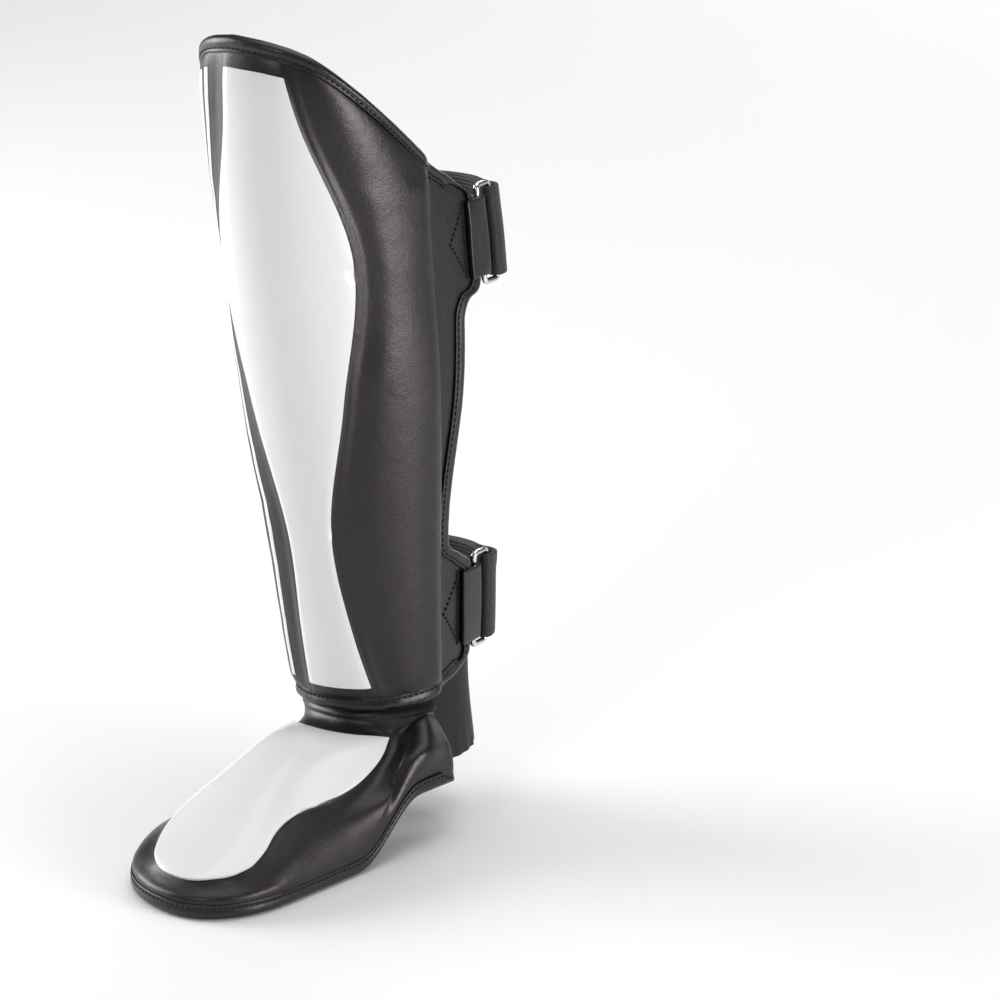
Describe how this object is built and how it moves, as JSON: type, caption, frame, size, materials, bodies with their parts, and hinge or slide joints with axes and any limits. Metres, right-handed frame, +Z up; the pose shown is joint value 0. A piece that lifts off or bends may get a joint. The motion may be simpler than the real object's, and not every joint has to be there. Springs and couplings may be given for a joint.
{
  "type": "shin guard",
  "caption": "Padded leather shin and instep guard: curved shin shell open at the back, buckled elastic calf straps, domed foot pad with heel band, white front panels and side stripes.",
  "frame": {"origin": "on the floor, under the middle of the guard's box", "axes": "+Z up along the shin, -Y towards the toe, +X towards the leg's inner side with the buckles"},
  "size_m": [0.1478, 0.2842, 0.4634],
  "materials": {
    "black_leather": "satin, grained",
    "white_leather": "glossy, smooth",
    "stripe_print": "satin print",
    "binding_leather": "satin, creased edge roll",
    "strap_elastic": "matt woven elastic",
    "heel_elastic": "matt knitted elastic",
    "ring_steel": "plated steel wire"
  },
  "bodies": {
    "root": {"shin_pad": "black_leather", "shin_panel": "white_leather", "stripe_thin": "stripe_print", "stripe_wide": "stripe_print", "shin_binding": "binding_leather", "upper_loop": "black_leather", "upper_ring": "ring_steel", "upper_strap": "strap_elastic", "lower_loop": "black_leather", "lower_ring": "ring_steel", "lower_strap": "strap_elastic", "foot_pad": "black_leather", "foot_panel": "white_leather", "foot_binding": "binding_leather", "heel_band": "heel_elastic"}
  },
  "joints": []
}
